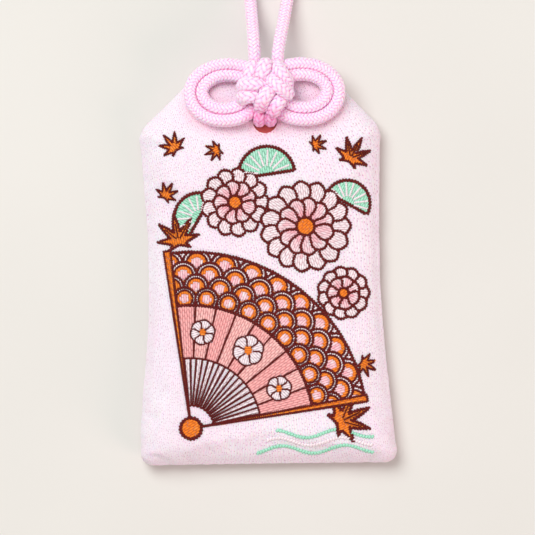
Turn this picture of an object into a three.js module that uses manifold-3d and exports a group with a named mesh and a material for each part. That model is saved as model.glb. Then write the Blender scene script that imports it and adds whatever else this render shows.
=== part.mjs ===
// Omamori charm: a sewn, padded cloth pouch with a bow-knotted hanging cord.
// Millimetres. The charm lies on its back: +X right, +Y towards the cord, +Z out of the front.
// The origin is under the middle of the pouch, on the surface that it lies on.
import * as THREE from "three";
import { mergeVertices } from "three/addons/utils/BufferGeometryUtils.js";
import Module from "manifold-3d";

const wasm = await Module();
wasm.setup();

// Pouch outline
const pouchHeight = 81.2;
const bottomWidth = 50.8;
const shoulderWidth = 48.2;
const topWidth = 21.2;
const shoulderDrop = 13.8;
const waistPinch = 1.35;
const bottomCornerRadius = 2.8;
const shoulderRadius = 5;
const topCornerRadius = 4;

// Pouch thickness and cloth
const headDrop = 1.6;
const headSlopeLength = 24;
const seamHeight = 2.8;
const frontRounding = 6.5;
const backRounding = 4.5;
const clothThickness = 0.6;
const backingThickness = 0.35;
const backingHem = 0.8;
const threadDiameter = 0.5;

// Pieces inside the pouch
const cardThickness = 0.8;
const paperThickness = 0.3;
const tabletThickness = 1.0;
const tabletGable = 4;
const waddingThickness = 1.05;
const crownRoom = 0.5;
const insertCornerRadius = 1.5;
const paddingCornerRadius = 5;

// Cord, knot and hanging loop
const cordDiameter = 2.3;
const knotCordDiameter = 1.9;
const cordSides = 8;
const knotX = 0.6;
const knotBelowTop = 6.6;
const knotTilt = THREE.MathUtils.degToRad(8);
const knotStandoff = 0.8;
const holePlay = 0.2;
const holeBelowKnot = 5.8;
const stopperDiameter = 3.6;
const stopperLength = 5.4;
const stopperGroove = 0.5;

// Clearance between touching pieces, and between loose ones
const fitGap = 0.3;
const looseGap = 1;
const floorGap = 0.1;

// Places that follow from the sizes above
const topY = pouchHeight / 2;
const shoulderY = topY - shoulderDrop;
const knotY = topY - knotBelowTop;
const holeY = knotY - holeBelowKnot;
const flatInset = backRounding + clothThickness + fitGap;
const insertTopY = holeY - stopperDiameter / 2 - looseGap;
const insertBottomY = -topY + flatInset;
const straightHalfWidth = (bottomWidth + shoulderWidth) / 4;
const cardWidth = 2 * (straightHalfWidth - waistPinch - flatInset);
const cardHeight = insertTopY - insertBottomY;
const insertCentreY = (insertTopY + insertBottomY) / 2;
const cardBase = clothThickness + fitGap;
const wrapperBase = cardBase + cardThickness + fitGap;
const tabletBase = wrapperBase + paperThickness + fitGap;
const wrapperTop = tabletBase + tabletThickness + fitGap + paperThickness;
const backingInset = clothThickness + fitGap;
const paddingInset = backingInset + backingThickness + fitGap;
const paddingBase = wrapperTop + fitGap;
const paddingTop = paddingBase + waddingThickness;
const bodyThickness = paddingTop + crownRoom + paddingInset;
const tailSpread = (knotCordDiameter + fitGap) / 2;
const holeDiameter = 2 * tailSpread + knotCordDiameter + 2 * fitGap + holePlay;

const cloth = { color: 0xf3e0e8, roughness: 0.85, metalness: 0 };
const lining = { color: 0xf6f1ee, roughness: 0.9, metalness: 0 };
const felt = { color: 0xbf6460, roughness: 0.95, metalness: 0 };
const cord = { color: 0xf7cfe4, roughness: 0.7, metalness: 0 };
const thread = { color: 0xf0d5e0, roughness: 0.7, metalness: 0 };
const card = { color: 0xcdbb9a, roughness: 0.9, metalness: 0 };
const paper = { color: 0xf7f4ec, roughness: 0.85, metalness: 0 };
const wood = { color: 0xd9bb8c, roughness: 0.6, metalness: 0 };

const charm = new THREE.Group();

function addPart(parent, name, geometry, finish) {
  const mesh = new THREE.Mesh(geometry, new THREE.MeshStandardMaterial(finish));
  mesh.name = name;
  parent.add(mesh);
  return mesh;
}

// Solids for cutting and joining
function toSolid(geometry) {
  const bare = new THREE.BufferGeometry();
  bare.setAttribute("position", geometry.getAttribute("position"));
  if (geometry.index) bare.setIndex(geometry.index);
  const merged = mergeVertices(bare, 1e-4);
  return new wasm.Manifold(
    new wasm.Mesh({
      numProp: 3,
      vertProperties: new Float32Array(merged.attributes.position.array),
      triVerts: new Uint32Array(merged.index.array),
    }),
  );
}

function toGeometry(solid) {
  const mesh = solid.getMesh();
  const geometry = new THREE.BufferGeometry();
  geometry.setAttribute("position", new THREE.BufferAttribute(mesh.vertProperties, 3));
  geometry.setIndex(new THREE.BufferAttribute(mesh.triVerts, 1));
  geometry.computeVertexNormals();
  return geometry;
}

// The six edges of the pouch, counterclockwise from the bottom, with the corner that starts each.
const pouchEdges = [
  { x: -bottomWidth / 2, y: -topY, radius: bottomCornerRadius, steps: 9, pinch: 0 },
  { x: bottomWidth / 2, y: -topY, radius: bottomCornerRadius, steps: 11, pinch: waistPinch },
  { x: shoulderWidth / 2, y: shoulderY, radius: shoulderRadius, steps: 4, pinch: 0 },
  { x: topWidth / 2, y: topY, radius: topCornerRadius, steps: 5, pinch: 0 },
  { x: -topWidth / 2, y: topY, radius: topCornerRadius, steps: 4, pinch: 0 },
  { x: -shoulderWidth / 2, y: shoulderY, radius: shoulderRadius, steps: 11, pinch: waistPinch },
];
const cornerSteps = 4;
const sharpestCorner = 0.4;

// The pouch outline drawn in by a distance, always with the same count of points.
function pouchOutline(inset) {
  const lines = pouchEdges.map((edge, i) => {
    const next = pouchEdges[(i + 1) % pouchEdges.length];
    const along = new THREE.Vector2(next.x - edge.x, next.y - edge.y).normalize();
    const inward = new THREE.Vector2(-along.y, along.x);
    const start = new THREE.Vector2(edge.x, edge.y).addScaledVector(inward, inset);
    return { ...edge, along, inward, start };
  });
  lines.forEach((line, i) => {
    const before = lines[(i + lines.length - 1) % lines.length];
    const gap = line.start.clone().sub(before.start);
    const turn = before.along.cross(line.along);
    line.corner = before.start.clone().addScaledVector(before.along, gap.cross(line.along) / turn);
    const bend = Math.acos(before.along.dot(line.along));
    line.cut = Math.max(line.radius - inset, sharpestCorner) * Math.tan(bend / 2);
    line.before = before;
  });
  const points = [];
  lines.forEach((line, i) => {
    const next = lines[(i + 1) % lines.length];
    const fillet = new THREE.QuadraticBezierCurve(
      line.corner.clone().addScaledVector(line.before.along, -line.cut),
      line.corner,
      line.corner.clone().addScaledVector(line.along, line.cut),
    );
    points.push(...fillet.getPoints(cornerSteps));
    const run = line.corner.distanceTo(next.corner);
    for (let k = 1; k < line.steps; k += 1) {
      const along = line.cut + ((run - line.cut - next.cut) * k) / line.steps;
      const share = along / run;
      const drawnIn = line.pinch * 4 * share * (1 - share);
      points.push(
        line.corner.clone().addScaledVector(line.along, along).addScaledVector(line.inward, drawnIn),
      );
    }
  });
  return points;
}

// A closed solid through rings of equal point count, listed from the lowest up.
function loftRings(rings) {
  const count = rings[0].length;
  const positions = rings.flat().flatMap((p) => [p.x, p.y, p.z]);
  const faces = [];
  for (let k = 0; k + 1 < rings.length; k += 1) {
    for (let i = 0; i < count; i += 1) {
      const a = k * count + i;
      const b = k * count + ((i + 1) % count);
      faces.push(a, b, b + count, a, b + count, a + count);
    }
  }
  const flat = (ring) => ring.map((p) => new THREE.Vector2(p.x, p.y));
  const lastStart = (rings.length - 1) * count;
  for (const [a, b, c] of THREE.ShapeUtils.triangulateShape(flat(rings[0]), [])) faces.push(a, c, b);
  for (const [a, b, c] of THREE.ShapeUtils.triangulateShape(flat(rings.at(-1)), [])) {
    faces.push(lastStart + a, lastStart + b, lastStart + c);
  }
  const geometry = new THREE.BufferGeometry();
  geometry.setAttribute("position", new THREE.Float32BufferAttribute(positions, 3));
  geometry.setIndex(faces);
  geometry.computeVertexNormals();
  return geometry;
}

// Share of the full height that a rounded edge has reached at a distance from the outline.
function roundedRise(distance, width) {
  const left = 1 - Math.min(distance / width, 1);
  return Math.sqrt(1 - left * left);
}

// Height of the pouch's front over the surface, away from its edges: the head is thinner.
function frontHeight(y) {
  return bodyThickness - headDrop * THREE.MathUtils.smoothstep(y, topY - headSlopeLength, topY);
}

const ringInsets = [0, 0.3, 0.9, 1.9, 3.3, 5.2, 8.5, 14.5];
const skirt = 2;

// The space under the front cloth, or within it by an inset, down to a level base.
function frontPillow(inset, base, openBelow) {
  const rings = ringInsets.map((step) =>
    pouchOutline(inset + step).map((p) => {
      const top = frontHeight(p.y) - inset;
      return new THREE.Vector3(p.x, p.y, base + (top - base) * roundedRise(step, frontRounding));
    }),
  );
  if (openBelow) rings.unshift(rings[0].map((p) => new THREE.Vector3(p.x, p.y, base - skirt)));
  return toSolid(loftRings(rings));
}

// The space over the back cloth, or within it by an inset, up to a level top.
function backPillow(inset, top, openAbove) {
  const rings = ringInsets.map((step) => {
    const z = top - (top - inset) * roundedRise(step, backRounding);
    return pouchOutline(inset + step).map((p) => new THREE.Vector3(p.x, p.y, z));
  });
  rings.reverse();
  if (openAbove) rings.push(rings.at(-1).map((p) => new THREE.Vector3(p.x, p.y, top + skirt)));
  return toSolid(loftRings(rings));
}

// Pouch: front and back cloth meet at the seam round the edge.
const frontBase = seamHeight + fitGap / 2;
const backTop = seamHeight - fitGap / 2;
const holeSides = 24;
const holeCutter = new THREE.CylinderGeometry(
  holeDiameter / 2,
  holeDiameter / 2,
  bodyThickness,
  holeSides,
);
holeCutter.rotateX(Math.PI / 2);
holeCutter.translate(knotX, holeY, bodyThickness);
const hole = toSolid(holeCutter);

const frontCloth = frontPillow(0, frontBase).subtract(frontPillow(clothThickness, frontBase, true));
addPart(charm, "front_panel", toGeometry(frontCloth.subtract(hole)), cloth);

const backCloth = backPillow(0, backTop).subtract(backPillow(clothThickness, backTop, true));
addPart(charm, "back_panel", toGeometry(backCloth), cloth);

// Stiffening sheet behind the embroidered front
const hemCutter = new THREE.BoxGeometry(bottomWidth, pouchHeight, 2 * backingHem);
hemCutter.translate(0, 0, frontBase);
const backing = frontPillow(backingInset, frontBase)
  .subtract(frontPillow(backingInset + backingThickness, frontBase, true))
  .subtract(toSolid(hemCutter));
addPart(charm, "front_backing", toGeometry(backing.subtract(hole)), felt);

// Inner pieces
const arcSteps = 4;

// A rectangle with round corners, as points counterclockwise round its centre.
function roundedOutline(width, height, radius) {
  const points = [];
  for (let corner = 0; corner < 4; corner += 1) {
    const sideX = corner === 1 || corner === 2 ? -1 : 1;
    const sideY = corner < 2 ? 1 : -1;
    for (let k = 0; k <= arcSteps; k += 1) {
      const angle = (Math.PI / 2) * (corner + k / arcSteps);
      const x = sideX * (width / 2 - radius) + radius * Math.cos(angle);
      const y = sideY * (height / 2 - radius) + radius * Math.sin(angle);
      points.push(new THREE.Vector2(x, y));
    }
  }
  return points;
}

function slab(shape, thickness, base) {
  const geometry = new THREE.ExtrudeGeometry(shape, {
    depth: thickness,
    bevelEnabled: false,
  });
  return geometry.translate(0, insertCentreY, base);
}

const cardShape = new THREE.Shape(roundedOutline(cardWidth, cardHeight, insertCornerRadius));
addPart(charm, "stiffener_card", slab(cardShape, cardThickness, cardBase), card);

const wrapperWidth = cardWidth - 2 * fitGap;
const wrapperHeight = cardHeight - 2 * fitGap;
const tabletWidth = wrapperWidth - 2 * (paperThickness + fitGap);
const tabletHeight = wrapperHeight - 2 * (paperThickness + fitGap);

const wrapperShape = new THREE.Shape(roundedOutline(wrapperWidth, wrapperHeight, insertCornerRadius));
const wrapperOuter = toSolid(slab(wrapperShape, wrapperTop - wrapperBase, wrapperBase));
const pocket = new THREE.BoxGeometry(
  wrapperWidth - 2 * paperThickness,
  wrapperHeight,
  wrapperTop - wrapperBase - 2 * paperThickness,
);
pocket.translate(0, insertCentreY + paperThickness, (wrapperTop + wrapperBase) / 2);
addPart(charm, "charm_wrapper", toGeometry(wrapperOuter.subtract(toSolid(pocket))), paper);

const tabletShape = new THREE.Shape();
tabletShape.moveTo(-tabletWidth / 2, -tabletHeight / 2);
tabletShape.lineTo(tabletWidth / 2, -tabletHeight / 2);
tabletShape.lineTo(tabletWidth / 2, tabletHeight / 2 - tabletGable);
tabletShape.lineTo(0, tabletHeight / 2);
tabletShape.lineTo(-tabletWidth / 2, tabletHeight / 2 - tabletGable);
tabletShape.closePath();
addPart(charm, "charm_tablet", slab(tabletShape, tabletThickness, tabletBase), wood);

// Wadding between the wrapped tablet and the front, with softened edges
const paddingLevels = [
  { drawnIn: 1, share: 0 },
  { drawnIn: 0.2, share: 0.3 },
  { drawnIn: 0.4, share: 0.7 },
  { drawnIn: 2.5, share: 1 },
];
const paddingRings = paddingLevels.map(({ drawnIn, share }) => {
  const outline = roundedOutline(
    cardWidth - 2 * drawnIn,
    cardHeight - 2 * drawnIn,
    paddingCornerRadius - drawnIn,
  );
  const z = paddingBase + (paddingTop - paddingBase) * share;
  return outline.map((p) => new THREE.Vector3(p.x, p.y + insertCentreY, z));
});
addPart(charm, "wadding_pad", loftRings(paddingRings), lining);

// A round tube of even steps along a smooth curve, with flat ends.
function tube(curve, diameter, sides, steps) {
  const section = new THREE.Shape();
  for (let i = 0; i < sides; i += 1) {
    const angle = (2 * Math.PI * i) / sides;
    const x = (diameter / 2) * Math.cos(angle);
    const y = (diameter / 2) * Math.sin(angle);
    if (i === 0) section.moveTo(x, y);
    else section.lineTo(x, y);
  }
  section.closePath();
  return new THREE.ExtrudeGeometry(section, { steps, extrudePath: curve });
}

function smoothCurve(points) {
  return new THREE.CatmullRomCurve3(points.map((p) => new THREE.Vector3(...p)), false, "centripetal");
}

// Seam threads: one down the sides and along the bottom, one across the closed mouth.
const threadSides = 5;
const threadInset = clothThickness + fitGap + threadDiameter / 2;
const threadLine = pouchOutline(threadInset).map((p) => [p.x, p.y, seamHeight]);
const mouthStart = 2 * (cornerSteps + 1) + pouchEdges[0].steps - 1 + pouchEdges[1].steps - 1
  + cornerSteps + 1 + pouchEdges[2].steps - 1;
const mouthEnd = mouthStart + 2 * (cornerSteps + 1) + pouchEdges[3].steps - 2;
const sewnLine = [...threadLine.slice(mouthEnd + 1), ...threadLine.slice(0, mouthStart)];
const mouthLine = threadLine.slice(mouthStart + 1, mouthEnd);
addPart(charm, "seam_thread", tube(smoothCurve(sewnLine), threadDiameter, threadSides, 72), thread);
addPart(charm, "mouth_thread", tube(smoothCurve(mouthLine), threadDiameter, threadSides, 16), thread);

// Knot frame: it lies on the sloping head of the pouch, with heights counted from its own base.
const knotBase = frontHeight(knotY) + knotStandoff;
const knot = new THREE.Group();
knot.position.set(knotX, knotY, knotBase);
knot.rotation.x = -knotTilt;
charm.add(knot);
const bowHeight = knotCordDiameter / 2;

// The crown of the knot: four bands of two strands, each over the next and under the last.
const crownRoutes = {
  crown_top_left: [
    [-2.1, 4.6, 2.3], [-2.15, 4.6, 2.85], [-2.3, 4.37, 3.56], [-2.5, 3.77, 3.99],
    [-2.7, 3.03, 3.99], [-2.85, 2.43, 3.56], [-2.92, 2.2, 2.85], [-2.95, 2.2, 2.3],
  ],
  crown_top_right: [
    [0.3, 4.75, 2.4], [0.3, 4.75, 3.2], [0.27, 4.75, 3.9], [0.15, 4.54, 4.55], [-0.05, 4.0, 4.94],
    [-0.3, 3.33, 4.94], [-0.55, 2.79, 4.55], [-0.7, 2.58, 3.9], [-0.8, 2.45, 3.3], [-0.85, 2.2, 2.7],
  ],
  crown_left_upper: [
    [-4.2, 0.55, 2.9], [-4.0, 0.58, 4.0], [-3.2, 0.62, 5.0],
    [-2.1, 0.6, 5.3], [-1.3, 0.55, 4.9], [-0.8, 0.5, 4.2],
  ],
  crown_left_lower: [
    [-4.3, -1.65, 2.6], [-4.1, -1.65, 3.8], [-3.2, -1.6, 4.7],
    [-2.25, -1.6, 4.5], [-1.65, -1.55, 3.4], [-1.3, -1.55, 2.5],
  ],
  crown_bottom_left: [
    [1.2, 0.0, 2.5], [0.85, -0.7, 4.3], [0.45, -1.25, 5.4],
    [-0.1, -2.1, 5.6], [-0.5, -2.9, 4.9], [-0.7, -3.4, 3.7],
  ],
  crown_bottom_right: [
    [2.95, -1.6, 2.0], [2.9, -2.2, 3.4], [2.65, -2.95, 4.35], [2.15, -3.65, 4.4], [1.7, -4.4, 3.4],
  ],
  crown_right_lower: [
    [1.3, 2.2, 3.0], [1.6, 1.5, 4.7], [2.6, 0.35, 5.5], [3.8, -0.55, 5.0], [4.5, -1.05, 3.9],
  ],
  crown_right_upper: [
    [2.6, 4.6, 2.6], [2.62, 4.4, 3.4], [2.75, 3.85, 4.2], [3.4, 2.75, 4.9], [4.1, 1.6, 4.3], [4.4, 0.9, 3.2],
  ],
};
for (const [name, points] of Object.entries(crownRoutes)) {
  addPart(knot, name, tube(smoothCurve(points), knotCordDiameter, cordSides, 12), cord);
}

// Bow loops: two turns each side, with their legs tucked under the crown.
const bowOuter = [
  [-3.7, 4.8], [-5.4, 5.25], [-7.6, 5.45], [-10.3, 5.05], [-13.0, 3.65], [-14.65, 1.3], [-14.75, -1.4],
  [-13.3, -3.9], [-10.65, -5.5], [-7.7, -5.9], [-5.2, -5.5], [-3.4, -4.6], [-2.7, -3.6],
];
const bowInner = [
  [-4.8, 2.9], [-6.2, 3.15], [-7.95, 3.25], [-10.05, 2.8], [-11.8, 1.6], [-12.5, 0], [-11.8, -1.8],
  [-10.05, -3.1], [-8.1, -3.5], [-6.3, -3.3], [-5.0, -2.8],
];
const bowDroop = 0.8;
const droopStart = 6;
const bowReach = 15;
function bowRoute(points, side) {
  return points.map(([u, v]) => {
    const outward = THREE.MathUtils.smoothstep(-u, droopStart, bowReach);
    return [-side * u, v, bowHeight - bowDroop * outward];
  });
}
for (const [side, name] of [[-1, "left"], [1, "right"]]) {
  const outer = smoothCurve(bowRoute(bowOuter, side));
  const inner = smoothCurve(bowRoute(bowInner, side));
  addPart(knot, `${name}_bow_outer`, tube(outer, knotCordDiameter, cordSides, 30), cord);
  addPart(knot, `${name}_bow_inner`, tube(inner, knotCordDiameter, cordSides, 24), cord);
}

// Tails: from under the crown, through the hole in the front, to the stopper knot inside.
const tails = new THREE.Group();
tails.position.set(knotX, holeY, 0);
charm.add(tails);
const stopperHeight = (cardBase + frontHeight(holeY) - paddingInset) / 2;
const tailFoot = stopperHeight + stopperDiameter / 2 + fitGap;
const tailTops = {
  left_tail: [
    [-0.9, 1.9, knotBase + 2.0], [-1.0, 1.1, knotBase + 2.1], [-tailSpread, 0.35, knotBase + 1.3],
  ],
  right_tail: [
    [1.05, 0.95, knotBase + 2.3], [1.1, 0.6, knotBase + 1.9], [tailSpread, 0.3, knotBase + 1.4],
  ],
};
for (const [name, points] of Object.entries(tailTops)) {
  const foot = points.at(-1)[0];
  const route = [...points, [foot, 0, frontHeight(holeY)], [foot, 0, tailFoot]];
  addPart(tails, name, tube(smoothCurve(route), knotCordDiameter, cordSides, 8), cord);
}

// Stopper knot: the two ends tied together, as two round turns side by side.
const stopperRadius = stopperDiameter / 2;
const stopperProfile = [[0, 0]];
const stopperTurns = 2;
const turnSteps = 6;
for (let i = 0; i <= stopperTurns * turnSteps; i += 1) {
  const swell = Math.abs(Math.sin((Math.PI * i) / turnSteps));
  const along = (stopperLength * i) / (stopperTurns * turnSteps);
  const atEnd = i === 0 || i === stopperTurns * turnSteps;
  const radius = stopperRadius - stopperGroove * (1 - swell) * (atEnd ? 2 : 1);
  stopperProfile.push([radius, along]);
}
stopperProfile.push([0, stopperLength]);
const stopper = new THREE.LatheGeometry(stopperProfile.map((p) => new THREE.Vector2(...p)), 16);
stopper.rotateZ(-Math.PI / 2);
stopper.translate(-stopperLength / 2, 0, stopperHeight);
addPart(tails, "stopper_knot", stopper, cord);

// Hanging loop: two strands leave the knot, come down to the surface and close in a round end.
// Its round ends turn in the knot, clear of the two strands that they carry on from.
const swingBeyondKnot = 7.0;
const swingOverBase = 2.7;
const swingAt = new THREE.Vector3(0, swingBeyondKnot, swingOverBase)
  .applyEuler(knot.rotation)
  .add(knot.position);
const loopFloor = cordDiameter / 2 + floorGap;
// Each point: place across, distance beyond the knot, and share of the drop still to come.
const loopPoints = [
  [-1.9, 0, 1], [-2.0, 2.3, 0.93], [-2.15, 5.2, 0.69], [-2.35, 8.2, 0.43], [-2.6, 11.2, 0.21],
  [-3.2, 15.2, 0.06], [-4.0, 19.5, 0], [-5.8, 30, 0], [-7.4, 42, 0], [-8.0, 53, 0], [-6.9, 61.5, 0],
  [-3.7, 66.6, 0], [0.5, 68.2, 0], [4.7, 66.6, 0], [7.9, 61.5, 0], [9.2, 53, 0], [8.8, 42, 0],
  [7.6, 30, 0], [6.2, 19.5, 0], [5.5, 15.2, 0.06], [4.8, 11.2, 0.21], [4.25, 8.2, 0.43],
  [3.65, 5.2, 0.69], [3.1, 2.3, 0.93], [2.75, 0, 1],
];
const loopRoute = loopPoints.map(([x, y, share]) => [x, y, loopFloor + (swingAt.z - loopFloor) * share]);
const loopTube = toSolid(tube(smoothCurve(loopRoute), cordDiameter, cordSides, 70));
const roundEnds = [loopRoute[0], loopRoute.at(-1)].map((p) => {
  const ball = new THREE.SphereGeometry(cordDiameter / 2, cordSides, cordSides);
  return toSolid(ball.translate(...p));
});
const loopSolid = loopTube.add(roundEnds[0]).add(roundEnds[1]);
const loop = addPart(charm, "hanging_loop", toGeometry(loopSolid), cord);
loop.position.set(swingAt.x, swingAt.y, 0);

export default charm;
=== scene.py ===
import math

import bpy
import numpy as np
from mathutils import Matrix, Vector
from mathutils.bvhtree import BVHTree


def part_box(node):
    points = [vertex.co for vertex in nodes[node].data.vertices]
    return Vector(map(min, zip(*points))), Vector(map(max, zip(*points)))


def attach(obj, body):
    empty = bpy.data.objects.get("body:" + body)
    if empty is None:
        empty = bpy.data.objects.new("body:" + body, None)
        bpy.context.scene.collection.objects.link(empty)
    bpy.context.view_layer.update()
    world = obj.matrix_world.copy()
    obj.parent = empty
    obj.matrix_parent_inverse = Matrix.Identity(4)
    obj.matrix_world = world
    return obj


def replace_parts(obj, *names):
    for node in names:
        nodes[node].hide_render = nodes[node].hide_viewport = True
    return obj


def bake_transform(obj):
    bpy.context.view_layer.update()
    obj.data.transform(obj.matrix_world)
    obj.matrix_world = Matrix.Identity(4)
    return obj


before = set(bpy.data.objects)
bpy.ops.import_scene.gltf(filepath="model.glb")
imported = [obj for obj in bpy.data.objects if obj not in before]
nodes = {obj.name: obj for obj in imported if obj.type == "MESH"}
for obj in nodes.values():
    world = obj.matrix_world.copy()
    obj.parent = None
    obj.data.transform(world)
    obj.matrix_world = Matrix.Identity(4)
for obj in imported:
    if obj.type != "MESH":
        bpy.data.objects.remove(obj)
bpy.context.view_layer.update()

# Studio
# A pale table top, a large soft lamp at the upper left, a weak warm one low at the right, and a pale room.
# The camera looks straight down on 107 mm of the table, turned by the pouch's slight lean.
mm = 0.001
frame_width = 107 * mm
frame_centre = Vector((0.7 * mm, -1.1 * mm, 6 * mm))
frame_lean = math.radians(0.8)
camera_height = 1.0
sensor_width = 36
table_size = 8
# Each lamp: its place, its width, its watts and its colour.
lamps = {
    "main": ((-0.32, 0.44, 0.92), 0.7, 8.1, "#ffffff"),
    "fill": ((0.70, -0.52, 0.42), 0.5, 2.7, "#ffd0d0"),
}
room_strength = 0.485


def linear(code):
    """An sRGB hex colour as the linear values that a shader takes."""
    parts = [int(code[i : i + 2], 16) / 255 for i in (1, 3, 5)]
    return [c / 12.92 if c <= 0.04045 else ((c + 0.055) / 1.055) ** 2.4 for c in parts] + [1.0]


def plug(tree, node, sockets):
    """Gives a node's sockets their values, or links from outputs or other nodes' first outputs."""
    for socket, value in sockets.items():
        if isinstance(value, bpy.types.Node):
            value = next(output for output in value.outputs if output.enabled)
        if isinstance(value, bpy.types.NodeSocket):
            tree.links.new(value, node.inputs[socket])
        else:
            node.inputs[socket].default_value = value


def add_node(tree, kind, sockets=None, stops=(), **settings):
    """Adds a shader node with its settings, its sockets, and a ramp's stops of (place, hex colour)."""
    made = tree.nodes.new(f"ShaderNode{kind}")
    for name, value in settings.items():
        setattr(made, name, value)
    for _ in stops[2:]:
        made.color_ramp.elements.new(0.5)
    for number, (place, code) in enumerate(stops):
        made.color_ramp.elements[number].position = place
        made.color_ramp.elements[number].color = linear(code)
    plug(tree, made, sockets or {})
    return made


def new_material(name):
    """A new material, with its tree of nodes and the surface shader in it."""
    made = bpy.data.materials.new(name)
    made.use_nodes = True
    return made, made.node_tree, made.node_tree.nodes["Principled BSDF"]


def mottled(name, patch, stops, finish, grain=()):
    """A material whose tone drifts in patches of a real size, with its surface's and its noise's values."""
    made, tree, surface = new_material(name)
    place = add_node(tree, "TexCoord").outputs["Object"]
    patches = add_node(tree, "TexNoise", {"Vector": place, "Scale": 1 / patch, **dict(grain)})
    tone = add_node(tree, "ValToRGB", {"Fac": patches}, stops)
    plug(tree, surface, {"Base Color": tone, **finish})
    return made


camera_at = frame_centre + Vector((0, 0, camera_height))
bpy.ops.object.camera_add(location=camera_at, rotation=(0, 0, -frame_lean))
camera = bpy.context.object
camera.data.sensor_width = sensor_width
camera.data.lens = sensor_width * camera_height / frame_width
bpy.context.scene.camera = camera
bpy.context.scene.view_settings.view_transform = "Standard"

# Matt coated board, smooth to the touch, with a faint mottle.
board_mottle = 60 * mm
board_finish = {"Roughness": 0.9, "Specular IOR Level": 0.2}
table_board = mottled("table_board_matt", board_mottle, [(0.3, "#dfe0db"), (0.7, "#e2e3de")], board_finish)

bpy.ops.mesh.primitive_plane_add(size=table_size)
table = bpy.context.object
table.name = "table_top"
table.data.materials.append(table_board)

for name, (at, size, watts, colour) in lamps.items():
    bpy.ops.object.light_add(type="AREA", location=at)
    lamp = bpy.context.object
    lamp.name = f"lamp_{name}"
    lamp.rotation_mode = "QUATERNION"
    lamp.rotation_quaternion = Vector(at).to_track_quat("Z", "Y")
    lamp.data.shape = "DISK"
    lamp.data.size = size
    lamp.data.energy = watts
    lamp.data.color = linear(colour)[:3]

# What the camera and shiny surfaces see of the room is paler than the light that the room gives.
room = bpy.data.worlds.new("pale_room")
bpy.context.scene.world = room
room.use_nodes = True
tree = room.node_tree
room_light = tree.nodes["Background"]
plug(tree, room_light, {"Color": linear("#fffaf5"), "Strength": room_strength})
backdrop = add_node(tree, "Background", {"Color": linear("#f1ede5"), "Strength": 1})
ray = add_node(tree, "LightPath")
seen = ray.outputs["Is Camera Ray"]
for other in ("Is Glossy Ray", "Is Transmission Ray"):
    seen = add_node(tree, "Math", {0: seen, 1: ray.outputs[other]}, operation="MAXIMUM")
chosen = add_node(tree, "MixShader", {0: seen, 1: room_light, 2: backdrop})
plug(tree, tree.nodes["World Output"], {"Surface": chosen})

# Charm tablet, wrapper and card
# A planed wooden tablet in a folded paper wrapper, laid on a card that keeps the pouch flat.
# They are rigid and lie hidden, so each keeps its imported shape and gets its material.

# Planed pale wood: fine straight grain along the tablet.
tablet_wood, tree, surface = new_material("wood_planed_cypress")
grain_size = (0.8 * mm, 25 * mm, 0.8 * mm)
place = add_node(tree, "TexCoord").outputs["Object"]
stretched = add_node(tree, "Mapping", {"Vector": place, "Scale": [1 / size for size in grain_size]})
grain = add_node(tree, "TexNoise", {"Vector": stretched, "Scale": 1, "Detail": 4})
tone = add_node(tree, "ValToRGB", {"Fac": grain}, [(0.3, "#d3ae79"), (0.7, "#e6caa0")])
plug(tree, surface, {"Base Color": tone, "Roughness": 0.6})

# White hand-made paper: long fibres that show as a faint cloudiness.
fibre_size = 3 * mm
paper_tones = [(0.35, "#efece2"), (0.6, "#faf8f1")]
paper_grain = {"Detail": 6, "Distortion": 2}
wrapping_paper = mottled("paper_white_fibrous", fibre_size, paper_tones, {"Roughness": 0.9}, paper_grain)

# Grey-brown card with the flecks of its pulp.
fleck_size = 0.6 * mm
card_tones = [(0.3, "#b9a47d"), (0.55, "#cdbb97")]
pulp_card = mottled("card_grey_brown", fleck_size, card_tones, {"Roughness": 0.95}, {"Detail": 3})

inner_finishes = {"charm_tablet": tablet_wood, "charm_wrapper": wrapping_paper, "stiffener_card": pulp_card}
for name, finish in inner_finishes.items():
    nodes[name].data.materials.clear()
    nodes[name].data.materials.append(finish)

# Wadding
# A cut pad of white polyester wadding, laid on the wrapped tablet, that gives the front its soft crown.
# Its edges are pulled soft by hand.
wadding_edge = 0.45
wadding_low, wadding_high = (Vector(corner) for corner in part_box("wadding_pad"))
bpy.ops.mesh.primitive_cube_add(size=1, location=(wadding_low + wadding_high) / 2)
wadding = bpy.context.object
wadding.name = "wadding_soft_pad"
wadding.scale = wadding_high - wadding_low
bpy.ops.object.transform_apply(location=True, rotation=False, scale=True)


def take(piece):
    """Makes a piece the one selected and active object."""
    bpy.ops.object.select_all(action="DESELECT")
    piece.select_set(True)
    bpy.context.view_layer.objects.active = piece


def finish_with(piece, kind, **settings):
    """Adds a modifier to a piece and applies it."""
    take(piece)
    modifier = piece.modifiers.new(kind.lower(), kind)
    for name, value in settings.items():
        setattr(modifier, name, value)
    bpy.ops.object.modifier_apply(modifier=modifier.name)


finish_with(wadding, "BEVEL", width=wadding_edge * mm, segments=4, limit_method="NONE")
bpy.ops.object.shade_smooth()

# Loose white wadding: a soft matt surface with short stray fibres.
tuft_size, tuft_height = 1.5 * mm, 0.2 * mm
tuft_tones = [(0.3, "#e9e7e3"), (0.6, "#f8f7f4")]
loose_wadding = mottled("wadding_white_polyester", tuft_size, tuft_tones, {"Roughness": 1}, {"Detail": 5})
tree = loose_wadding.node_tree
tufts = tree.nodes["Noise Texture"]
relief = add_node(tree, "Bump", {"Height": tufts, "Strength": 0.5, "Distance": tuft_height})
plug(tree, tree.nodes["Principled BSDF"], {"Normal": relief})
wadding.data.materials.append(loose_wadding)
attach(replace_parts(wadding, "wadding_pad"), "pouch")

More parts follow.
